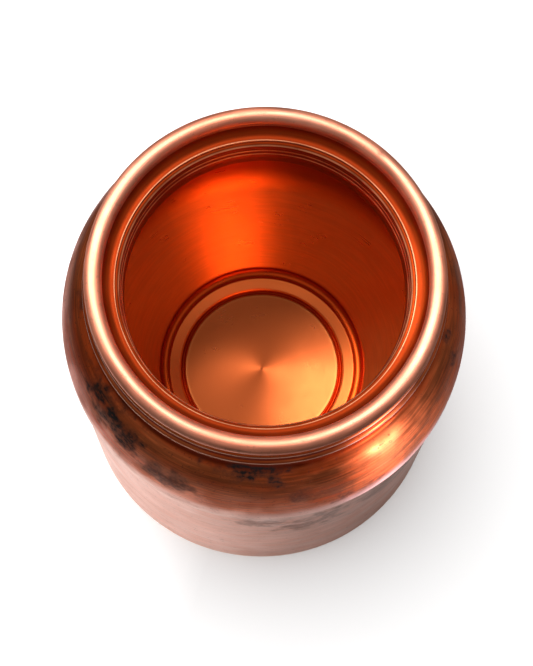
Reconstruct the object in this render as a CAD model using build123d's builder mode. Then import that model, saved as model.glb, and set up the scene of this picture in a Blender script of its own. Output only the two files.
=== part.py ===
from build123d import *

import os
from math import radians, tan

# Copper lota water pot: spun sheet shells with lapped and brazed joints.
# Every piece is a body of revolution about Z. The foot rests on Z = 0.
# Profiles are drawn on the XZ plane as (radius, height), in millimetres.

# ---------------------------------------------------------------- driving dimensions
sheet = 1.0  # thickness of the copper sheet

rim_radius = 50.0  # outside of the rolled rim
rim_bead_radius = 2.5  # outside radius of the roll's round section
rim_bead_z = 127.5  # height of the centre of the roll
curl_start = -95.0  # angle where the curled edge closes under the roll, degrees
curl_outside_sweep = 300.0  # sweep of the visible face of the roll, degrees
curl_inside_sweep = 310.0  # sweep of the face against the wire, degrees

throat_radius = 39.7  # narrowest opening, at the lowest ridge of the collar
throat_bottom_z = 112.6
throat_wall_length = 3.0  # straight wall below the lowest ridge

neck_radius = 50.2  # outside of the neck wall, below its two beads
neck_top_z = 124.6  # top edge of the neck wall, under the roll
neck_corner_z = 114.2  # where the neck wall starts to turn out into the shoulder

belly_radius = 59.55  # outside of the shoulder shell at its widest
shoulder_edge_z = 83.4  # lower edge of the shoulder shell, the visible seam
belly_lap = 2.0  # depth of the lap between shoulder and lower body
shoulder_curve_radius = 50.0  # radius at the centre of the shoulder's elliptical arc
shoulder_curve_rise = 26.4  # rise of the shoulder's elliptical arc
shoulder_curve_end = 80.0  # angle where the arc meets the neck corner, degrees

drum_straight_z = 80.0  # above this height the lower body is a true cylinder
foot_radius = 57.8  # outside of the lower body just above the foot
foot_corner_radius = 1.0
foot_flange_inner_radius = 53.3

pan_flange_top_z = 74.0
pan_flange_bottom_z = 69.0
pan_bend_top_z = 68.0  # where the pan's flange starts to bend in to the cone
pan_bend_radius = 20.0  # inside radius of that bend
pan_cone_turn = 40.0  # slope of the cone away from the vertical, degrees
pan_cone_end_z = 32.9  # lowest height of the cone's inside face
pan_clearance = 0.05  # gap that opens between pan and drum below the flange

# ---------------------------------------------------------------- derived dimensions
rim_bead_centre = (rim_radius - rim_bead_radius, rim_bead_z)
rim_wire_radius = rim_bead_radius - sheet
drum_outer_radius = belly_radius - sheet
drum_inner_radius = drum_outer_radius - sheet
foot_inner_radius = foot_radius - sheet
lap_top_z = shoulder_edge_z + belly_lap


def drum_bore(z):
    """Inside radius of the tapered lower body at height z."""
    fraction = (z - sheet) / (drum_straight_z - sheet)
    return foot_inner_radius + (drum_inner_radius - foot_inner_radius) * fraction


# ---------------------------------------------------------------- rim wire
# Core wire of the rolled rim, a closed hoop hidden inside the curl.
with BuildPart() as rim_wire:
    with BuildSketch(Plane.XZ):
        with Locations(rim_bead_centre):
            Circle(rim_wire_radius)
    revolve(axis=Axis.Z)
rim_wire.part.label = "rim_wire"

# ---------------------------------------------------------------- neck collar
# Funnel-shaped collar: curled over the wire at the top, a hollow cove inside the rim,
# then three ridges stepping down and in to the throat.
hidden_face = [
    (46.2, 125.6),
    (44.9, 122.9),
    (43.6, 122.0),
    (42.5, 120.4),
    (41.4, 117.5),
    (throat_radius + sheet, 115.0),
    (throat_radius + sheet, throat_bottom_z),
]
cove_point = (44.5, 124.55)
upper_ridge_outer = (42.85, 123.45)
upper_ridge_inner = (41.75, 123.2)
upper_ridge_foot = (41.6, 122.4)
middle_ridge_crest = (40.55, 121.55)
middle_ridge_foot = (40.75, 119.7)
lower_ridge_top = (40.7, 119.2)
lower_ridge_crest = (40.35, 118.5)
lower_ridge_notch = (40.4, 117.8)
last_ridge_crest = (40.0, 117.0)
throat_top = (throat_radius, throat_bottom_z + throat_wall_length)

with BuildPart() as neck_collar:
    with BuildSketch(Plane.XZ):
        with BuildLine():
            curl_outside = CenterArc(rim_bead_centre, rim_bead_radius, curl_start, curl_outside_sweep)
            curl_inside = CenterArc(rim_bead_centre, rim_wire_radius, curl_start, curl_inside_sweep)
            Line(curl_outside @ 0, curl_inside @ 0)
            Polyline(curl_inside @ 1, *hidden_face)
            Line(hidden_face[-1], (throat_radius, throat_bottom_z))
            Line((throat_radius, throat_bottom_z), throat_top)
            ThreePointArc(throat_top, last_ridge_crest, lower_ridge_notch)
            ThreePointArc(lower_ridge_notch, lower_ridge_crest, lower_ridge_top)
            Line(lower_ridge_top, middle_ridge_foot)
            ThreePointArc(middle_ridge_foot, middle_ridge_crest, upper_ridge_foot)
            Polyline(upper_ridge_foot, upper_ridge_inner, upper_ridge_outer)
            ThreePointArc(upper_ridge_outer, cove_point, curl_outside @ 1)
        make_face()
    revolve(axis=Axis.Z)
neck_collar.part.label = "neck_collar"

# ---------------------------------------------------------------- shoulder
# Spun shoulder shell: plain neck wall with two fine beads, bulging shoulder,
# and a short straight skirt that laps over the lower body.
neck_inner_radius = neck_radius - sheet
neck_top_inner_radius = 48.9
neck_top_outer_radius = 49.5
neck_top_flat = 0.4  # height of the plain edge above the upper bead
bead_root_radius = 49.6  # bottom of the groove between the two beads
upper_bead_crest = (50.1, 123.5)
upper_bead_foot = (bead_root_radius, 122.7)
lower_bead_top = (bead_root_radius, 121.3)
lower_bead_crest = (51.0, 119.9)
lower_bead_foot = (neck_radius, 118.6)
neck_edge = (neck_top_outer_radius, neck_top_z - neck_top_flat)
shoulder_centre = (shoulder_curve_radius, lap_top_z)
shoulder_half_width = belly_radius - shoulder_curve_radius

with BuildPart() as shoulder:
    with BuildSketch(Plane.XZ):
        with BuildLine():
            outer_curve = EllipticalCenterArc(
                shoulder_centre,
                shoulder_half_width,
                shoulder_curve_rise,
                arc_size=shoulder_curve_end,
            )
            inner_curve = EllipticalCenterArc(
                shoulder_centre,
                shoulder_half_width - sheet,
                shoulder_curve_rise - sheet,
                arc_size=shoulder_curve_end,
            )
            Polyline(
                outer_curve @ 0,
                (belly_radius, shoulder_edge_z),
                (drum_outer_radius, shoulder_edge_z),
                inner_curve @ 0,
            )
            Spline(
                inner_curve @ 1,
                (neck_inner_radius, neck_corner_z - sheet),
                tangents=[inner_curve % 1, (0, 1)],
            )
            Polyline(
                (neck_inner_radius, neck_corner_z - sheet),
                (neck_top_inner_radius, neck_top_z),
                (neck_top_outer_radius, neck_top_z),
                neck_edge,
            )
            ThreePointArc(neck_edge, upper_bead_crest, upper_bead_foot)
            Line(upper_bead_foot, lower_bead_top)
            ThreePointArc(lower_bead_top, lower_bead_crest, lower_bead_foot)
            Line(lower_bead_foot, (neck_radius, neck_corner_z))
            Spline(
                (neck_radius, neck_corner_z),
                outer_curve @ 1,
                tangents=[(0, -1), -(outer_curve % 1)],
            )
        make_face()
    revolve(axis=Axis.Z)
shoulder.part.label = "shoulder"

# ---------------------------------------------------------------- collar seam
# Solder that fills the corner between the neck's top edge and the underside of the curl.
seam_inner_radius = 47.9
seam_height = 1.6

with BuildPart() as collar_seam:
    with BuildSketch(Plane.XZ):
        with BuildLine():
            Polyline(
                (seam_inner_radius, neck_top_z),
                (neck_top_outer_radius, neck_top_z),
                (neck_top_outer_radius, neck_top_z + seam_height),
                (seam_inner_radius, neck_top_z + seam_height),
                close=True,
            )
        make_face()
        with Locations(rim_bead_centre):
            Circle(rim_bead_radius, mode=Mode.SUBTRACT)
    revolve(axis=Axis.Z)
collar_seam.part.label = "collar_seam"

# ---------------------------------------------------------------- lower body
# Tapered drum that stands on its own edge, turned in to a narrow foot flange.
with BuildPart() as lower_body:
    with BuildSketch(Plane.XZ):
        with BuildLine():
            Polyline(
                (foot_radius, foot_corner_radius),
                (drum_outer_radius, drum_straight_z),
                (drum_outer_radius, lap_top_z),
                (drum_inner_radius, lap_top_z),
                (drum_inner_radius, drum_straight_z),
                (foot_inner_radius, sheet),
                (foot_flange_inner_radius, sheet),
                (foot_flange_inner_radius, 0),
                (foot_radius - foot_corner_radius, 0),
            )
            RadiusArc(
                (foot_radius - foot_corner_radius, 0),
                (foot_radius, foot_corner_radius),
                -foot_corner_radius,
            )
        make_face()
    revolve(axis=Axis.Z)
lower_body.part.label = "lower_body"

# ---------------------------------------------------------------- belly seam
# Brazing fillet in the corner under the shoulder's lower edge.
fillet_width = 0.7
fillet_height = 0.8

with BuildPart() as belly_seam:
    with BuildSketch(Plane.XZ):
        with BuildLine():
            Polyline(
                (drum_outer_radius, shoulder_edge_z),
                (drum_outer_radius + fillet_width, shoulder_edge_z),
                (drum_outer_radius, shoulder_edge_z - fillet_height),
                close=True,
            )
        make_face()
    revolve(axis=Axis.Z)
belly_seam.part.label = "belly_seam"

# ---------------------------------------------------------------- base pan
# Dished bottom let into the drum: an upright flange, a bend, a steep cone, and a floor
# with a round valley, a sloping ring, a fine groove and a shallow dished disc.
bend_centre = (drum_bore(pan_bend_top_z) - pan_clearance - sheet - pan_bend_radius, pan_bend_top_z)
valley_bottom = (31.5, 30.7)
ring_outer_edge = (29.9, 31.0)
ring_inner_edge = (26.6, 29.6)
groove_bottom = (25.75, 28.2)
disc_edge = (24.9, 29.1)
disc_centre = (0, 27.5)
cone_back_end_z = 29.9  # lowest height of the cone's outside face
ring_back = (30.4, 28.9)
disc_back_edge = (26.2, 27.1)
disc_back_centre = (0, 26.5)


def cone_point(bend_end, z):
    """Point at height z on the cone's face that leaves the bend at bend_end."""
    return (bend_end.X - (bend_end.Y - z) * tan(radians(pan_cone_turn)), z)


with BuildPart() as base_pan:
    with BuildSketch(Plane.XZ):
        with BuildLine():
            bend_inside = CenterArc(bend_centre, pan_bend_radius, 0, -pan_cone_turn)
            bend_outside = CenterArc(bend_centre, pan_bend_radius + sheet, 0, -pan_cone_turn)
            Polyline(
                bend_outside @ 0,
                (drum_bore(pan_flange_bottom_z), pan_flange_bottom_z),
                (drum_bore(pan_flange_top_z), pan_flange_top_z),
                (drum_bore(pan_flange_top_z) - sheet, pan_flange_top_z),
                bend_inside @ 0,
            )
            cone_inside = Line(bend_inside @ 1, cone_point(bend_inside @ 1, pan_cone_end_z))
            cone_outside = Line(bend_outside @ 1, cone_point(bend_outside @ 1, cone_back_end_z))
            ThreePointArc(cone_inside @ 1, valley_bottom, ring_outer_edge)
            Polyline(ring_outer_edge, ring_inner_edge, groove_bottom, disc_edge)
            TangentArc(disc_centre, disc_edge, tangent=(1, 0))
            Line(disc_centre, disc_back_centre)
            TangentArc(disc_back_centre, disc_back_edge, tangent=(1, 0))
            Polyline(disc_back_edge, ring_back, cone_outside @ 1)
        make_face()
    revolve(axis=Axis.Z)
base_pan.part.label = "base_pan"

# ---------------------------------------------------------------- base seam
# Brazing run into the wedge between the outside of the pan's bend and the drum wall.
wedge_top_z = 64.5
wedge_bottom_z = 60.5
wedge_start_radii = (56.5, 55.4)  # top and bottom, both inside the pan's sheet

with BuildPart() as base_seam:
    with BuildSketch(Plane.XZ):
        with BuildLine():
            Polyline(
                (wedge_start_radii[1], wedge_bottom_z),
                (drum_bore(wedge_bottom_z), wedge_bottom_z),
                (drum_bore(wedge_top_z), wedge_top_z),
                (wedge_start_radii[0], wedge_top_z),
                close=True,
            )
        make_face()
    revolve(axis=Axis.Z)
    add(base_pan.part, mode=Mode.SUBTRACT)
base_seam.part.label = "base_seam"

# ---------------------------------------------------------------- export
pieces = [
    rim_wire,
    neck_collar,
    collar_seam,
    shoulder,
    belly_seam,
    lower_body,
    base_pan,
    base_seam,
]

os.makedirs("parts", exist_ok=True)
for piece in pieces:
    export_step(piece.part, f"parts/{piece.part.label}.step")
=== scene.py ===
"""Looks of the copper lota water pot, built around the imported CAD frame.

Every visible shell is a lathe mesh that follows its CAD node and stands for it. Lengths are metres.
"""

import math

import bpy
from mathutils import Matrix, Vector, noise


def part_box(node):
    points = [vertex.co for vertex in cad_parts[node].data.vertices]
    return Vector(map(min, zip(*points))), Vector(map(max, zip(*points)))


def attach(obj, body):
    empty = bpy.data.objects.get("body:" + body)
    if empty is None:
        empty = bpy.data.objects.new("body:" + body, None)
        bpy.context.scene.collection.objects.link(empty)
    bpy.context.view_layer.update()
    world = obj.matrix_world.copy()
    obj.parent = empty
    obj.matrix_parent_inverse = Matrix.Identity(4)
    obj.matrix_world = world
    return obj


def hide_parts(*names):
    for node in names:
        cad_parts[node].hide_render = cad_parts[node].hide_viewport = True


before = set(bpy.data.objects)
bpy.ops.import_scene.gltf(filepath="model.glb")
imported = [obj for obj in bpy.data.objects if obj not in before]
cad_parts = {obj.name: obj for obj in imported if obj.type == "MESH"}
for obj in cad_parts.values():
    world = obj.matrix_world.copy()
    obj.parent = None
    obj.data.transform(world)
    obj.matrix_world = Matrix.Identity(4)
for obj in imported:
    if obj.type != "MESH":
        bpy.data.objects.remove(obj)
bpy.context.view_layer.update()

MM = 0.001
SEGMENTS = 288  # faces round each lathe mesh
BODY = "root"

# ---------------------------------------------------------------- sizes from the frame
collar_low, collar_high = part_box("neck_collar")
shoulder_low, shoulder_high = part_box("shoulder")
drum_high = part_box("lower_body")[1]

SHEET = 1.0 * MM
RIM_R = collar_high.x
BEAD_R = 2.5 * MM  # outside of the rolled rim's round section
BEAD_C = (RIM_R - BEAD_R, collar_high.z - BEAD_R)
WIRE_R = BEAD_R - SHEET
THROAT_Z = collar_low.z
BELLY_R = shoulder_high.x
EDGE_Z = shoulder_low.z  # the visible seam
NECK_TOP_Z = shoulder_high.z
DRUM_R = BELLY_R - SHEET
LAP_Z = drum_high.z  # top of the lap between shoulder and lower body


# ---------------------------------------------------------------- profile helpers
CORNER_SHARE = 0.45  # of each side, the most that rounding a corner may use


def ellipse(centre, width, height, start, end, steps):
    """Points on an elliptical arc with its axes along r and z, angles in degrees from +r towards +z."""
    points = []
    for i in range(steps + 1):
        a = math.radians(start + (end - start) * i / steps)
        points.append((centre[0] + width * math.cos(a), centre[1] + height * math.sin(a)))
    return points


def arc(centre, radius, start, end, steps):
    """Points on a circular arc."""
    return ellipse(centre, radius, radius, start, end, steps)


def arc_through(first, middle, last, steps):
    """Points on the circular arc from first through middle to last."""
    (ax, ay), (bx, by), (cx, cy) = first, middle, last
    scale = 2 * (ax * (by - cy) + bx * (cy - ay) + cx * (ay - by))
    a2, b2, c2 = ax * ax + ay * ay, bx * bx + by * by, cx * cx + cy * cy
    x = (a2 * (by - cy) + b2 * (cy - ay) + c2 * (ay - by)) / scale
    y = (a2 * (cx - bx) + b2 * (ax - cx) + c2 * (bx - ax)) / scale
    radius = math.hypot(ax - x, ay - y)
    start, via, end = (math.atan2(p[1] - y, p[0] - x) for p in (first, middle, last))
    full = 2 * math.pi
    sweep = (end - start) % full
    if (via - start) % full > sweep:
        sweep -= full
    points = []
    for i in range(steps + 1):
        a = start + sweep * i / steps
        points.append((x + radius * math.cos(a), y + radius * math.sin(a)))
    return points


def mm(*points):
    """Profile points given in millimetres."""
    return [(r * MM, z * MM) for r, z in points]


def rounded(points, radius, steps=5):
    """The same open polyline with every inner corner rounded by up to radius."""
    out = [points[0]]
    for before, corner, after in zip(points, points[1:], points[2:]):
        a, b, c = Vector(before), Vector(corner), Vector(after)
        cut = min(radius, CORNER_SHARE * (a - b).length, CORNER_SHARE * (c - b).length)
        start = b + (a - b).normalized() * cut
        end = b + (c - b).normalized() * cut
        for i in range(steps + 1):
            t = i / steps
            point = start * (1 - t) ** 2 + b * 2 * t * (1 - t) + end * t * t
            out.append(tuple(point))
    out.append(points[-1])
    return out


def resampled(points, longest):
    """The same polyline with extra points so that no step is longer than longest."""
    out = [points[0]]
    for a, b in zip(points, points[1:]):
        steps = max(1, math.ceil(math.dist(a, b) / longest))
        for i in range(1, steps + 1):
            t = i / steps
            out.append((a[0] + (b[0] - a[0]) * t, a[1] + (b[1] - a[1]) * t))
    return out


# ---------------------------------------------------------------- lathe
HAND_LUMP = 0.10 * MM  # how far hand work leaves the round shape, at most
LUMP_RATE = 22.0  # lumps per metre
AXIS_R = 1e-7  # a profile point nearer than this lies on the axis
SHARP_ANGLE = math.radians(50)  # edges above this stay sharp in the shading


def hand_made(point):
    """The point moved by a slow, smooth wander, the same for all pieces so that seams stay closed."""
    swell = noise.noise(Vector(point) * LUMP_RATE) * HAND_LUMP
    stretch = 1 + swell / math.hypot(point[0], point[1])
    return (point[0] * stretch, point[1] * stretch, point[2])


def lathe(name, profile, material, closed=True):
    """A mesh of revolution from (r, z) points; a point on the axis becomes one pole vertex."""
    vertices = []
    rings = []
    for r, z in profile:
        if r < AXIS_R:
            rings.append([len(vertices)])
            vertices.append((0.0, 0.0, z))
            continue
        ring = []
        for s in range(SEGMENTS):
            a = 2 * math.pi * s / SEGMENTS
            ring.append(len(vertices))
            vertices.append(hand_made((r * math.cos(a), r * math.sin(a), z)))
        rings.append(ring)
    faces = []
    pairs = list(zip(rings, rings[1:]))
    if closed:
        pairs.append((rings[-1], rings[0]))
    for lower, upper in pairs:
        if len(lower) == 1 and len(upper) == 1:
            continue
        for s in range(SEGMENTS):
            n = (s + 1) % SEGMENTS
            if len(lower) == 1:
                faces.append((lower[0], upper[n], upper[s]))
            elif len(upper) == 1:
                faces.append((lower[s], lower[n], upper[0]))
            else:
                faces.append((lower[s], lower[n], upper[n], upper[s]))
    mesh = bpy.data.meshes.new(name)
    mesh.from_pydata(vertices, [], faces)
    mesh.validate()
    piece = bpy.data.objects.new(name, mesh)
    bpy.context.scene.collection.objects.link(piece)
    mesh.materials.append(material)
    for face in mesh.polygons:
        face.use_smooth = True
    mesh.set_sharp_from_angle(angle=SHARP_ANGLE)
    return piece


# ---------------------------------------------------------------- materials
# Colours are linear red, green and blue.
TARNISH = (0.035, 0.022, 0.018)  # black-brown oxide
TARNISH_ROUGHER = 0.18  # added to the roughness where the tarnish is full
TARNISH_LESS_METAL = 0.25
LEDGE_SHADE = (0.24, 0.025, 0.004)  # painted shade on the ledge under the cove
RECESS_SHADE = (0.36, 0.038, 0.005)  # painted shade, deep red, in the coves and the neck's recesses
PALE_WEAR_AND_HIGHLIGHT = (0.97, 0.6, 0.42)  # rubbed edges at the foot; painted highlight on the seam's edge and the neck beads
CREST_HIGHLIGHT = (0.99, 0.47, 0.24)  # painted highlight on the crests of the collar's ridges

# Brush lines: how many per metre across the grain, and how often they change along it.
FINE_LINE, FINE_REACH = 1400.0, 5.0
COARSE_LINE, COARSE_REACH = 420.0, 3.0
LINE_DETAIL = 3.0
FINE_SHARE = 0.6  # of the finished grain; the rest is coarse
LINE_SHADE = 0.55  # how much full grain darkens the colour between its lines
GRAIN_TURN = 0.25  # a quarter turn lays the highlight across the grain
RELIEF_DEPTH = 0.06 * MM

# Noises: features per metre and detail.
CLOUDS = (28.0, 4.0)
MOTTLE = (120.0, 5.0)
GRIT = (900.0, 3.0)
RAGGED = (260.0, 6.0)
BROAD = (75.0, 3.0)
CLOUD_SHARE = 0.55  # of the tone; the rest is coarse grain
RAGGED_REACH, BROAD_REACH = 3.0, 2.4  # how far each noise pushes a patch's outline
GRIT_BREAK = 0.6  # how much the grit breaks up a patch
WEAR_AND_HIGHLIGHT_LEVELS = (0.6, 1.0)  # least and most of the wear and painted highlight along an edge ring
BROKEN_LEVELS = (0.5, 1.0)  # least and most tarnish inside a patch
SMOOTHER, ROUGHER = 0.25, 0.3  # shares by which full grain varies the roughness
SCRATCH = 0.05  # roughness that full grain adds or takes away line by line

# Where a noise starts to act and where it acts in full.
TONE_STEP = (0.38, 0.64)
SHADE_STEP = (0.42, 0.6)
POLISH_STEP = (0.35, 0.65)
SCRATCH_STEP = (0.4, 0.62)
WEAR_AND_HIGHLIGHT_STEP = (0.3, 0.6)
SPECK_STEP = (0.6, 0.72)
BROKEN_STEP = (0.66, 0.92)
PATCH_STEP = (-0.1, 0.9)


class Net:
    """Short names for shader nodes; a source may be a number, a colour, a vector or a socket."""

    def __init__(self, material):
        self.tree = material.node_tree

    def put(self, socket, source):
        if isinstance(source, bpy.types.NodeSocket):
            self.tree.links.new(source, socket)
        else:
            socket.default_value = source

    def math(self, operation, *sources):
        node = self.tree.nodes.new("ShaderNodeMath")
        node.operation = operation
        for socket, source in zip(node.inputs, sources):
            self.put(socket, source)
        return node.outputs["Value"]

    def plus(self, a, b):
        return self.math("ADD", a, b)

    def minus(self, a, b):
        return self.math("SUBTRACT", a, b)

    def times(self, a, b):
        return self.math("MULTIPLY", a, b)

    def over(self, a, b):
        return self.math("DIVIDE", a, b)

    def length(self, a, b):
        """Length of the vector (a, b)."""
        return self.math("SQRT", self.plus(self.times(a, a), self.times(b, b)))

    def weigh(self, first, second, share):
        """A share of first and the rest of second."""
        return self.plus(self.times(first, share), self.times(second, 1 - share))

    def join(self, x, y, z):
        node = self.tree.nodes.new("ShaderNodeCombineXYZ")
        for socket, source in zip(node.inputs, (x, y, z)):
            self.put(socket, source)
        return node.outputs["Vector"]

    def noise(self, vector, scale, detail, w=None):
        node = self.tree.nodes.new("ShaderNodeTexNoise")
        node.noise_dimensions = "3D" if w is None else "4D"
        self.put(node.inputs["Vector"], vector)
        if w is not None:
            self.put(node.inputs["W"], w)
        node.inputs["Scale"].default_value = scale
        node.inputs["Detail"].default_value = detail
        return node.outputs["Fac"]

    def ramp(self, value, low, high, bottom=0.0, top=1.0):
        """bottom where value is low, top where it is high, and a smooth step between."""
        node = self.tree.nodes.new("ShaderNodeMapRange")
        node.interpolation_type = "SMOOTHSTEP"
        self.put(node.inputs["Value"], value)
        self.put(node.inputs["From Min"], low)
        self.put(node.inputs["From Max"], high)
        self.put(node.inputs["To Min"], bottom)
        self.put(node.inputs["To Max"], top)
        return node.outputs["Result"]

    def blend(self, factor, first, second):
        """Colour mix: first where factor is 0, second where it is 1."""
        node = self.tree.nodes.new("ShaderNodeMix")
        node.data_type = "RGBA"
        colour_a, colour_b = [s for s in node.inputs if s.type == "RGBA"]
        self.put(node.inputs["Factor"], factor)
        self.put(colour_a, first)
        self.put(colour_b, second)
        return [s for s in node.outputs if s.type == "RGBA"][0]

    def darker(self, colour, factor):
        node = self.tree.nodes.new("ShaderNodeVectorMath")
        node.operation = "SCALE"
        self.put(node.inputs["Vector"], colour)
        self.put(node.inputs["Scale"], factor)
        return node.outputs["Vector"]


class Place:
    """Where a shading point is: object coordinates, radius, and the cosine and sine of its azimuth."""

    LEAST_R = 0.0002  # keeps the azimuth defined on the axis

    def __init__(self, net):
        coords = net.tree.nodes.new("ShaderNodeTexCoord")
        self.point = coords.outputs["Object"]
        split = net.tree.nodes.new("ShaderNodeSeparateXYZ")
        net.tree.links.new(self.point, split.inputs["Vector"])
        self.x, self.y, self.z = split.outputs
        self.r = net.math("MAXIMUM", net.length(self.x, self.y), self.LEAST_R)
        self.cos = net.over(self.x, self.r)
        self.sin = net.over(self.y, self.r)


def brush_lines(net, place, lines, reach):
    """Noise that runs round the axis and changes quickly across it."""
    vector = net.join(
        net.times(place.cos, reach),
        net.times(place.sin, reach),
        net.times(place.r, lines),
    )
    return net.noise(vector, 1.0, LINE_DETAIL, w=net.times(place.z, lines))


def patch_mask(net, place, patch):
    """Ragged spot centred at (azimuth, radius, height) with its own reach along, up and strength."""
    azimuth, radius, height, along, up, strength = patch
    a = math.radians(azimuth)
    dx = net.minus(place.x, radius * MM * math.cos(a))
    dy = net.minus(place.y, radius * MM * math.sin(a))
    sideways = net.over(net.length(dx, dy), along * MM)
    upward = net.over(net.minus(place.z, height * MM), up * MM)
    ragged = net.minus(net.noise(place.point, *RAGGED), 0.5)
    broad = net.minus(net.noise(place.point, *BROAD), 0.5)
    uneven = net.plus(net.times(ragged, RAGGED_REACH), net.times(broad, BROAD_REACH))
    inside = net.minus(net.plus(1.0, uneven), net.length(sideways, upward))
    return net.ramp(inside, *PATCH_STEP, 0.0, strength)


def ring_mask(net, place, ring, core=0.0):
    """1 on a ring at (radius, height) and 0 beyond its reach, in mm; core is the fully covered share."""
    radius, height, reach = ring
    dr = net.minus(place.r, radius * MM)
    dz = net.minus(place.z, height * MM)
    return net.ramp(net.length(dr, dz), core * reach * MM, reach * MM, 1.0, 0.0)


def copper(
    name,
    light,
    deep,
    roughness,
    stretch,
    grain,
    relief,
    edge_wear_and_highlight=PALE_WEAR_AND_HIGHLIGHT,
    speckle=0.0,
    patches=(),
    edges=(),
    zones=(),
):
    """Hand-brushed copper in two tones, with tarnished patches, edge rings of wear and painted highlight,
    and ring zones of painted shade, painted reflection and plain tone.

    stretch is the highlight's anisotropy; grain, relief and speckle are strengths from 0 to 1.
    """
    material = bpy.data.materials.new(name)
    material.use_nodes = True
    net = Net(material)
    shader = material.node_tree.nodes["Principled BSDF"]
    place = Place(net)

    fine = brush_lines(net, place, FINE_LINE, FINE_REACH)
    coarse = brush_lines(net, place, COARSE_LINE, COARSE_REACH)
    lines = net.weigh(fine, coarse, FINE_SHARE)
    cloud = net.noise(place.point, *CLOUDS)
    mottle = net.noise(place.point, *MOTTLE)
    grit = net.noise(place.point, *GRIT)

    tone = net.weigh(cloud, coarse, CLOUD_SHARE)
    colour = net.blend(net.ramp(tone, *TONE_STEP), (*light, 1), (*deep, 1))
    colour = net.darker(colour, net.ramp(lines, *SHADE_STEP, 1.0 - LINE_SHADE * grain, 1.0))
    # Zones paint shade, reflection and plain tone; edge rings paint wear and highlight.
    for ring, core, paint in zones:
        colour = net.blend(ring_mask(net, place, ring, core), colour, (*paint, 1))
    for edge in edges:
        mask = net.times(ring_mask(net, place, edge), net.ramp(mottle, *WEAR_AND_HIGHLIGHT_STEP, *WEAR_AND_HIGHLIGHT_LEVELS))
        colour = net.blend(mask, colour, (*edge_wear_and_highlight, 1))

    smoothest = roughness * (1 - SMOOTHER * grain)
    roughest = roughness * (1 + ROUGHER * grain)
    rough = net.ramp(mottle, *POLISH_STEP, smoothest, roughest)
    rough = net.plus(rough, net.ramp(lines, *SCRATCH_STEP, -SCRATCH * grain, SCRATCH * grain))

    stain = net.times(net.ramp(grit, *SPECK_STEP), speckle)
    gritty_lines = net.plus(lines, net.times(grit, GRIT_BREAK))
    broken = net.ramp(gritty_lines, *BROKEN_STEP, *BROKEN_LEVELS)
    for patch in patches:
        stain = net.math("MAXIMUM", stain, net.times(patch_mask(net, place, patch), broken))

    net.put(shader.inputs["Base Color"], net.blend(stain, colour, (*TARNISH, 1)))
    net.put(shader.inputs["Metallic"], net.minus(1.0, net.times(stain, TARNISH_LESS_METAL)))
    net.put(shader.inputs["Roughness"], net.plus(rough, net.times(stain, TARNISH_ROUGHER)))

    tangent = net.tree.nodes.new("ShaderNodeTangent")
    tangent.direction_type = "RADIAL"
    tangent.axis = "Z"
    net.put(shader.inputs["Tangent"], tangent.outputs["Tangent"])
    shader.inputs["Anisotropic"].default_value = stretch
    shader.inputs["Anisotropic Rotation"].default_value = GRAIN_TURN

    if relief > 0:
        bump = net.tree.nodes.new("ShaderNodeBump")
        bump.inputs["Strength"].default_value = relief
        bump.inputs["Distance"].default_value = RELIEF_DEPTH
        net.put(bump.inputs["Height"], lines)
        net.put(shader.inputs["Normal"], bump.outputs["Normal"])
    return material


# Tarnished patches: azimuth in degrees, then radius, height, reach along and reach up in mm, strength.
SHOULDER_PATCHES = [
    (212, 53.5, 109.5, 7.0, 5.0, 0.95),
    (222, 54.0, 107.0, 9.0, 8.0, 1.0),
    (229, 55.5, 105.0, 6.0, 7.0, 0.95),
    (246, 57.8, 99.5, 10.0, 6.0, 0.75),
    (264, 52.3, 110.8, 8.0, 2.6, 1.0),
    (276, 53.6, 109.2, 8.0, 2.6, 0.95),
    (271, 51.6, 112.0, 13.0, 2.0, 1.0),
    (283, 57.5, 101.5, 10.0, 4.0, 0.7),
    (296, 59.2, 92.0, 11.0, 5.0, 0.75),
    (349, 53.0, 110.4, 3.0, 2.2, 1.0),
    (345, 56.4, 104.6, 4.0, 3.2, 0.9),
    (186, 52.0, 111.2, 4.0, 1.2, 0.7),
    (28, 55.0, 107.0, 9.0, 5.0, 0.6),
    (118, 56.5, 104.0, 12.0, 6.0, 0.6),
]
BODY_PATCHES = [
    (272, 58.4, 70.0, 12.0, 9.0, 0.45),
    (290, 58.3, 62.0, 14.0, 14.0, 0.5),
    (312, 58.2, 66.0, 14.0, 13.0, 0.4),
    (205, 58.3, 60.0, 12.0, 14.0, 0.3),
    (70, 58.3, 52.0, 16.0, 12.0, 0.5),
    (140, 58.1, 30.0, 14.0, 16.0, 0.45),
    (350, 58.2, 48.0, 12.0, 15.0, 0.45),
]
BEAD_PATCHES = [(50, 47.8, 129.6, 1.2, 0.9, 0.6)]

# Rings of wear, painted highlight, painted shade and painted reflection: radius, height and reach in mm. A
# zone adds the fully covered share and a colour.
# Painted highlight along the crests of the collar's ridges.
RIDGE_EDGES = [(41.72, 123.15, 0.42), (40.7, 121.8, 0.45), (40.4, 118.75, 0.42), (40.05, 117.2, 0.45)]
# Painted shade in the collar's cove, on its ledge and in the hollows down to the throat.
COVE_SHADES = [
    ((44.0, 124.6, 1.9), 0.75, RECESS_SHADE),
    ((42.7, 123.4, 1.5), 0.6, LEDGE_SHADE),
    ((41.0, 121.4, 1.6), 0.75, RECESS_SHADE),
    ((40.4, 118.4, 2.2), 0.75, RECESS_SHADE),
    ((39.7, 114.5, 3.2), 0.75, RECESS_SHADE),
]
# Painted highlight along the seam's edge and the crests of the two neck beads.
CREASE_EDGES = [(BELLY_R / MM, EDGE_Z / MM, 0.9), (51.0, 119.9, 0.7), (50.1, 123.5, 0.5)]
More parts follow.
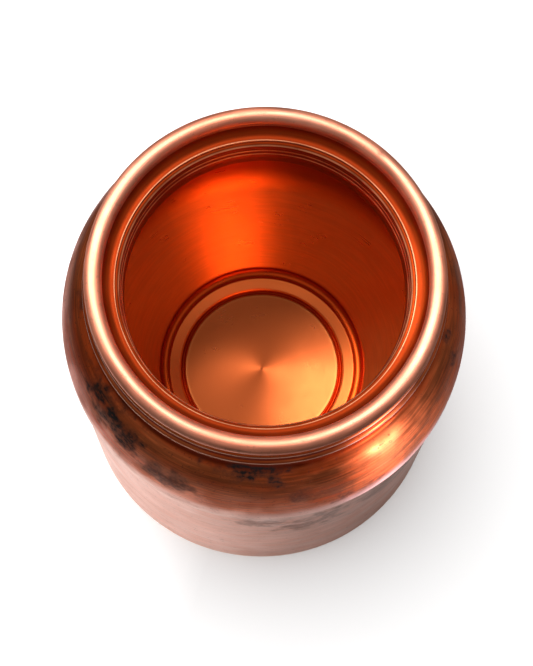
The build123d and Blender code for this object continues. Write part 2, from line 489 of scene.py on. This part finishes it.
# Painted shade between and under the neck beads, and a painted reflection of the floor above the seam.
SHOULDER_SHADE_AND_REFLECTION = [
    ((49.6, 122.0, 1.2), 0.6, RECESS_SHADE),
    ((50.3, 115.0, 4.5), 0.5, RECESS_SHADE),
    ((BELLY_R / MM, EDGE_Z / MM, 10.5), 0.25, (0.86, 0.47, 0.37)),  # painted reflection of the floor, paler above the seam
]
FOOT_EDGES = [(57.8, 1.0, 1.5)]
# Painted highlight along the rounded edge of the pan's disc.
FLOOR_EDGES = [(24.5, 29.0, 0.8)]
PAN_TONES_AND_SHADE = [
    ((56.0, 63.0, 10.0), 0.5, (0.62, 0.13, 0.025)),  # painted shade in the bend under the flange
    ((31.6, 31.3, 2.6), 0.6, (0.5, 0.05, 0.006)),  # painted shade in the valley
    ((28.2, 30.3, 1.75), 0.8, (0.95, 0.2, 0.045)),  # sloping ring
    ((25.75, 28.6, 1.0), 0.6, (0.4, 0.04, 0.005)),  # painted shade in the groove
    ((0.0, 28.0, 25.3), 0.975, (0.36, 0.072, 0.018)),  # dished disc
    ((0.0, 27.5, 0.6), 0.4, (0.2, 0.035, 0.008)),  # faint centre mark
]

rim_copper = copper(
    "collar_copper",
    light=(0.95, 0.38, 0.24),
    deep=(0.93, 0.31, 0.18),
    roughness=0.39,
    stretch=0.65,
    grain=0.3,
    relief=0.2,
    edge_wear_and_highlight=CREST_HIGHLIGHT,
    speckle=0.2,
    patches=BEAD_PATCHES,
    edges=RIDGE_EDGES,
    zones=COVE_SHADES,
)
shoulder_copper = copper(
    "shoulder_copper",
    light=(0.88, 0.21, 0.065),
    deep=(0.66, 0.1, 0.022),
    roughness=0.41,
    stretch=0.75,
    grain=0.6,
    relief=0.3,
    speckle=0.35,
    patches=SHOULDER_PATCHES,
    edges=CREASE_EDGES,
    zones=SHOULDER_SHADE_AND_REFLECTION,
)
body_copper = copper(
    "body_copper",
    light=(0.86, 0.46, 0.36),
    deep=(0.7, 0.3, 0.2),
    roughness=0.36,
    stretch=0.4,
    grain=0.35,
    relief=0.3,
    speckle=0.3,
    patches=BODY_PATCHES,
    edges=FOOT_EDGES,
)
inside_copper = copper(
    "inside_copper",
    light=(0.99, 0.275, 0.065),
    deep=(0.98, 0.25, 0.055),
    roughness=0.29,
    stretch=0.8,
    grain=0.14,
    relief=0.0,
    edge_wear_and_highlight=(0.42, 0.1, 0.025),
    edges=FLOOR_EDGES,
    zones=PAN_TONES_AND_SHADE,
)
solder = copper(
    "solder",
    light=(0.9, 0.6, 0.44),
    deep=(0.7, 0.4, 0.27),
    roughness=0.38,
    stretch=0.3,
    grain=0.3,
    relief=0.3,
)


# ---------------------------------------------------------------- neck collar
# Points of the collar's section in mm, (radius, height), from the cove down to the throat.
COVE = (44.5, 124.55)
LEDGE_OUTER = (42.85, 123.45)
LEDGE_INNER = (41.75, 123.2)
LEDGE_FOOT = (41.6, 122.4)
MIDDLE_CREST = (40.55, 121.55)
MIDDLE_FOOT = (40.75, 119.7)
LOWER_TOP = (40.7, 119.2)
LOWER_CREST = (40.35, 118.5)
LOWER_NOTCH = (40.4, 117.8)
LAST_CREST = (40.0, 117.0)
THROAT_TOP = (39.7, 115.6)
HIDDEN_BACK = [(40.7, 115.0), (41.4, 117.5), (42.5, 120.4), (43.6, 122.0), (44.9, 122.9), (46.2, 125.6)]
RIDGE_ROUND = 0.08 * MM
CURL_EDGE = -95  # degrees, where the curled sheet closes under the roll
CURL_OUTSIDE_END = 205
CURL_INSIDE_END = 215


def collar_profile():
    """Closed section: rolled bead, cove, a ledge and three ridges down to the throat, hidden back."""
    bead = arc(BEAD_C, BEAD_R, CURL_EDGE, CURL_OUTSIDE_END, 60)
    cove = arc_through(bead[-1], *mm(COVE, LEDGE_OUTER), 14)
    ledge = mm(LEDGE_INNER, LEDGE_FOOT)
    middle = arc_through(*mm(LEDGE_FOOT, MIDDLE_CREST, MIDDLE_FOOT), 12)
    lower = arc_through(*mm(LOWER_TOP, LOWER_CREST, LOWER_NOTCH), 8)
    last = arc_through(*mm(LOWER_NOTCH, LAST_CREST, THROAT_TOP), 8)
    throat_r = THROAT_TOP[0] * MM
    throat = [(throat_r, THROAT_Z), (throat_r + SHEET, THROAT_Z)]
    inner = arc(BEAD_C, WIRE_R, CURL_INSIDE_END, CURL_EDGE, 48)
    face = cove[1:] + ledge + middle[1:] + lower + last[1:] + throat
    return bead + rounded(face, RIDGE_ROUND, 3) + mm(*HIDDEN_BACK) + inner


# ---------------------------------------------------------------- shoulder
SHOULDER_CENTRE = (50 * MM, LAP_Z)
SHOULDER_WIDTH = BELLY_R - SHOULDER_CENTRE[0]
SHOULDER_RISE = 26.4 * MM
SHOULDER_END = 80  # degrees, where the bulge meets the neck's corner
NECK_CORNER = [(50.9, 111.75), (50.4, 112.6), (50.2, 114.2)]
NECK_STRAIGHT_END = (50.2, 118.6)
NECK_BACK = [(49.2, 113.2), (49.5, 111.8)]
NECK_TOP_INNER_R = 48.9 * MM
LOWER_BEAD = ((49.75 * MM, 119.9 * MM), 1.25 * MM, -65, 68)  # centre, radius, start and end angle
UPPER_BEAD = ((49.3 * MM, 123.45 * MM), 0.8 * MM, -50, 90)
NECK_ROUND = 0.6 * MM
EDGE_BEVEL = 0.3 * MM


def shoulder_profile():
    """Closed section: skirt edge, bulge, neck wall with two beads, and the inside face."""
    outer = ellipse(SHOULDER_CENTRE, SHOULDER_WIDTH, SHOULDER_RISE, 0, SHOULDER_END, 60)
    corner = rounded(outer[-1:] + mm(*NECK_CORNER, NECK_STRAIGHT_END), NECK_ROUND)
    beads = arc(*LOWER_BEAD, 14) + arc(*UPPER_BEAD, 10)
    top = [(NECK_TOP_INNER_R, NECK_TOP_Z)]
    inner = ellipse(
        SHOULDER_CENTRE, SHOULDER_WIDTH - SHEET, SHOULDER_RISE - SHEET, SHOULDER_END, 0, 40
    )
    edge = [(DRUM_R, EDGE_Z), (BELLY_R - EDGE_BEVEL, EDGE_Z), (BELLY_R, EDGE_Z + EDGE_BEVEL)]
    return edge + outer + corner[1:] + beads + top + mm(*NECK_BACK) + inner


# ---------------------------------------------------------------- lower body
FOOT_R = 57.8 * MM
FLANGE_R = 53.3 * MM
STRAIGHT_Z = 80 * MM  # above this height the wall no longer tapers


def drum_profile():
    """Closed section: tapered wall and the turned-in foot flange."""
    outer = resampled([(FOOT_R, SHEET), (DRUM_R, STRAIGHT_Z), (DRUM_R, LAP_Z)], 3 * MM)
    inner = resampled(
        [(DRUM_R - SHEET, LAP_Z), (DRUM_R - SHEET, STRAIGHT_Z), (FOOT_R - SHEET, SHEET)], 6 * MM
    )
    flange = [(FLANGE_R, SHEET), (FLANGE_R, 0.0)]
    corner = arc((FOOT_R - SHEET, SHEET), SHEET, -90, 0, 8)
    return outer + inner + flange + corner[:-1]


# ---------------------------------------------------------------- base pan
# Points of the pan's section in mm, (radius, height), from the flange in to the disc.
BEND_CENTRE = (36.386, 68.0)
PAN_BEND_R = 20 * MM
CONE_TURN = -40  # degrees from the bend's start to the cone
PAN_FLANGE = [(57.446, 69.0), (57.493, 74.0), (56.493, 74.0)]
CONE_END = (33.04, 32.9)
VALLEY = (31.5, 30.7)
RING_OUTER = (29.9, 31.0)
RING_INNER = (26.6, 29.6)
GROOVE = (25.75, 28.2)
CONE_BACK = [(30.4, 28.9), (31.83, 29.9)]
DISC_EDGE = (24.9 * MM, 29.1 * MM)
DISC_BACK_EDGE = (26.2 * MM, 27.1 * MM)
FLOOR_Z = 27.5 * MM  # height of the disc's centre
LIP_ROUND = 0.3 * MM
PAN_STEP = 0.8 * MM  # longest step down the cone and the ring


def dish(edge, centre_z, steps):
    """Points of a shallow spherical dish, from its edge to its centre on the axis."""
    depth = edge[1] - centre_z
    sphere = (edge[0] ** 2 + depth**2) / (2 * depth)
    points = []
    for i in range(steps + 1):
        r = edge[0] * (1 - i / steps)
        points.append((r, centre_z + sphere - math.sqrt(sphere * sphere - r * r)))
    return points


def pan_profile():
    """Section from the underside's centre, round the flange, to the floor's centre."""
    bend = mm(BEND_CENTRE)[0]
    under = dish(DISC_BACK_EDGE, FLOOR_Z - SHEET, 12)[::-1] + mm(*CONE_BACK)
    outside = arc(bend, PAN_BEND_R + SHEET, CONE_TURN, 0, 16)
    inside = arc(bend, PAN_BEND_R, 0, CONE_TURN, 32)
    cone = resampled([inside[-1]] + mm(CONE_END), PAN_STEP)
    valley = arc_through(*mm(CONE_END, VALLEY, RING_OUTER), 14)
    ring = resampled(mm(RING_OUTER, RING_INNER), PAN_STEP) + mm(GROOVE)
    disc = dish(DISC_EDGE, FLOOR_Z, 30)
    lip = rounded(valley[-3:] + ring[1:] + disc[:3], LIP_ROUND, 3)
    return under + outside + mm(*PAN_FLANGE) + inside[:-1] + cone[:-1] + valley[:-3] + lip + disc[3:]


# ---------------------------------------------------------------- seams
FILLET_WIDTH = 0.7 * MM
FILLET_HEIGHT = 0.8 * MM
FILLET_WAIST = (0.2 * MM, 0.45 * MM)  # out from the wall and down from the edge


def belly_seam_profile():
    """Concave braze fillet under the shoulder's edge."""
    return [
        (DRUM_R, EDGE_Z),
        (DRUM_R, EDGE_Z - FILLET_HEIGHT),
        (DRUM_R + FILLET_WAIST[0], EDGE_Z - FILLET_WAIST[1]),
        (DRUM_R + FILLET_WIDTH, EDGE_Z),
    ]


PIECES = [
    ("neck_collar_shell", collar_profile(), rim_copper, "neck_collar", "collar_copper"),
    ("shoulder_shell", shoulder_profile(), shoulder_copper, "shoulder", "shoulder_copper"),
    ("lower_body_shell", drum_profile(), body_copper, "lower_body", "body_copper"),
    ("base_pan_shell", pan_profile(), inside_copper, "base_pan", "inside_copper"),
    ("belly_seam_ring", belly_seam_profile(), solder, "belly_seam", "solder"),
]
shells = {}
for piece_name, outline, finish, node, slot_name in PIECES:
    shell = lathe(piece_name, outline, finish, closed=node != "base_pan")
    shells[node] = shell
    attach(shell, BODY)
    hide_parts(node)

for node in ("rim_wire", "collar_seam", "base_seam"):
    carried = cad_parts[node]
    carried.data.materials.clear()
    carried.data.materials.append(solder)

# ---------------------------------------------------------------- floor
FLOOR_HALF = 6.0
FLOOR_ROUGHNESS = 0.95
FLOOR_SHINE = 0.1
FLOOR_WHITE = 0.93
FLOOR_DARK = 0.05  # painted shade and shadow: what the copper sees far from the pot and to its right
SHEET_EDGE = (0.1, 0.19)  # where that darkening starts and ends, metres from the axis
SIDE_TURN = 0.3  # leans the light side from -X towards +Y
SIDE_STEP = (-1.0, 0.5)
SIDE_LEVELS = (0.42, 1.25)  # on the dark side and on the light side


def floor_paint():
    """White to the camera; in reflections it darkens outwards as painted shade and towards the front right
    as a painted shadow.
    """
    material = bpy.data.materials.new("floor")
    material.use_nodes = True
    net = Net(material)
    place = Place(net)
    shader = material.node_tree.nodes["Principled BSDF"]
    shader.inputs["Roughness"].default_value = FLOOR_ROUGHNESS
    shader.inputs["Specular IOR Level"].default_value = FLOOR_SHINE
    outward = net.ramp(place.r, *SHEET_EDGE, 1.0, 0.0)
    towards_left = net.minus(net.times(place.sin, SIDE_TURN), place.cos)
    side = net.ramp(towards_left, *SIDE_STEP, *SIDE_LEVELS)
    reflected = net.times(net.times(outward, side), FLOOR_WHITE)
    reflected = net.math("MAXIMUM", reflected, FLOOR_DARK)
    path = net.tree.nodes.new("ShaderNodeLightPath")
    seen = net.times(path.outputs["Is Camera Ray"], FLOOR_WHITE)
    level = net.math("MAXIMUM", reflected, seen)
    net.put(shader.inputs["Base Color"], net.join(level, level, level))
    return material


floor_mesh = bpy.data.meshes.new("floor")
floor_corners = [(x * FLOOR_HALF, y * FLOOR_HALF, 0) for x, y in ((-1, -1), (1, -1), (1, 1), (-1, 1))]
floor_mesh.from_pydata(floor_corners, [], [(0, 1, 2, 3)])
floor_mesh.materials.append(floor_paint())
floor = bpy.data.objects.new("floor", floor_mesh)
bpy.context.scene.collection.objects.link(floor)


# ---------------------------------------------------------------- lights
POT_MIDDLE = Vector((0, 0, 0.08))


def softbox(name, azimuth, elevation, distance, long_azimuth, long_angle, short_angle, radiance):
    """An area light facing the pot; azimuths count from +X towards +Y in degrees, sizes are angles seen."""
    a, e = math.radians(azimuth), math.radians(elevation)
    away = Vector((math.cos(e) * math.cos(a), math.cos(e) * math.sin(a), math.sin(e)))
    turn = math.radians(long_azimuth)
    along = Vector((math.cos(turn), math.sin(turn), 0))
    along = (along - away * along.dot(away)).normalized()
    across = away.cross(along)
    length = 2 * distance * math.tan(math.radians(long_angle / 2))
    width = 2 * distance * math.tan(math.radians(short_angle / 2))
    light = bpy.data.lights.new(name, "AREA")
    light.shape = "RECTANGLE"
    light.size = length
    light.size_y = width
    light.energy = radiance * math.pi * length * width
    lamp = bpy.data.objects.new(name, light)
    bpy.context.scene.collection.objects.link(lamp)
    basis = Matrix((along, across, away)).transposed().to_4x4()
    lamp.matrix_world = Matrix.Translation(POT_MIDDLE + away * distance) @ basis
    return lamp


# A gradient dome, brightest behind the zenith and a little to its left.
DOME_AXIS = Vector((-0.1, 0.4, 0.9)).normalized()
DOME_STEPS = [(-1.0, 0.08), (-0.3, 0.12), (0.0, 0.2), (0.5, 0.3), (1.0, 0.42)]  # cosine, level


def dome():
    """World light as a ramp on the angle to DOME_AXIS; the camera itself sees plain white."""
    world = bpy.data.worlds.new("studio")
    bpy.context.scene.world = world
    world.use_nodes = True
    nodes = world.node_tree.nodes
    links = world.node_tree.links
    background = nodes["Background"]
    background.inputs["Color"].default_value = (1, 1, 1, 1)
    output = nodes["World Output"]
    direction = nodes.new("ShaderNodeTexCoord")
    along = nodes.new("ShaderNodeVectorMath")
    along.operation = "DOT_PRODUCT"
    along.inputs[1].default_value = DOME_AXIS
    links.new(direction.outputs["Generated"], along.inputs[0])
    curve = nodes.new("ShaderNodeFloatCurve")
    points = curve.mapping.curves[0].points
    top = max(level for _, level in DOME_STEPS)
    first, last = DOME_STEPS[0], DOME_STEPS[-1]
    points[0].location = (0, first[1] / top)
    points[1].location = (1, last[1] / top)
    for dot, level in DOME_STEPS[1:-1]:
        points.new((dot + 1) / 2, level / top)
    curve.mapping.update()
    shifted = nodes.new("ShaderNodeMapRange")
    shifted.inputs["From Min"].default_value = -1
    shifted.inputs["From Max"].default_value = 1
    links.new(along.outputs["Value"], shifted.inputs["Value"])
    links.new(shifted.outputs["Result"], curve.inputs["Value"])
    scaled = nodes.new("ShaderNodeMath")
    scaled.operation = "MULTIPLY"
    scaled.inputs[1].default_value = top
    links.new(curve.outputs["Value"], scaled.inputs[0])
    links.new(scaled.outputs["Value"], background.inputs["Strength"])
    seen = nodes.new("ShaderNodeBackground")
    seen.inputs["Color"].default_value = (1, 1, 1, 1)
    path = nodes.new("ShaderNodeLightPath")
    mix = nodes.new("ShaderNodeMixShader")
    links.new(path.outputs["Is Camera Ray"], mix.inputs["Fac"])
    links.new(background.outputs["Background"], mix.inputs[1])
    links.new(seen.outputs["Background"], mix.inputs[2])
    links.new(mix.outputs["Shader"], output.inputs["Surface"])


def lights_only(lamp, receiver):
    """Restrict a lamp to one object, the way flags and snoots do in a studio."""
    group = bpy.data.collections.new(lamp.name + "_receivers")
    group.objects.link(receiver)
    lamp.light_linking.receiver_collection = group


NEUTRAL = (1.0, 1.0, 1.0)
COOL = (1.0, 1.0, 1.3)
# Name, what it lights, tint, then azimuth, elevation, distance, long azimuth, both angles, radiance.
LAMPS = [
    ("overhead", shells["base_pan"], NEUTRAL, 125, 63, 1.5, 168, 24, 18, 18.5),
    ("inside_fill", shells["base_pan"], NEUTRAL, 100, 80, 1.2, 0, 80, 80, 0.32),
    ("rim_strip", shells["neck_collar"], NEUTRAL, 124, 68, 1.5, 168, 76, 24, 6.8),
    ("front_right", shells["shoulder"], COOL, -40, 4, 1.2, 50, 9, 9, 110.0),
    ("floor_wash", floor, NEUTRAL, 140, 70, 6.0, 60, 84, 84, 2.45),
]

dome()
for lamp_name, receiver, tint, *setting in LAMPS:
    lamp = softbox(lamp_name, *setting)
    lamp.data.color = tint
    lights_only(lamp, receiver)

# ---------------------------------------------------------------- camera
FOCAL_LENGTH = 1800.0  # in the same units as FRAME_LONG
FRAME_LONG = 666  # long side of the 533 by 666 picture
SENSOR_MM = 36.0
NEAREST_SEEN = 0.01
CAMERA_BACK = 2.988  # in rim radii from the axis, towards -Y
CAMERA_UP = 9.425  # in rim radii above the bead's centre
PITCH = math.radians(74.206)
ROLL = math.radians(2.913)
YAW = math.radians(0.374)
CAMERA_PLACE = Vector((0, -CAMERA_BACK * RIM_R, BEAD_C[1] + CAMERA_UP * RIM_R))

camera_data = bpy.data.cameras.new("camera")
camera = bpy.data.objects.new("camera", camera_data)
bpy.context.scene.collection.objects.link(camera)
bpy.context.scene.camera = camera
camera_data.lens = FOCAL_LENGTH / FRAME_LONG * SENSOR_MM
camera_data.sensor_width = SENSOR_MM
camera_data.clip_start = NEAREST_SEEN
forward = Vector((math.sin(YAW) * math.cos(PITCH), math.cos(YAW) * math.cos(PITCH), -math.sin(PITCH)))
level_right = Vector((math.cos(YAW), -math.sin(YAW), 0))
level_up = level_right.cross(forward)
right = math.cos(ROLL) * level_right + math.sin(ROLL) * level_up
up = math.cos(ROLL) * level_up - math.sin(ROLL) * level_right
turn = Matrix((right, up, -forward)).transposed().to_4x4()
camera.matrix_world = Matrix.Translation(CAMERA_PLACE) @ turn

bpy.context.scene.view_settings.view_transform = "Standard"
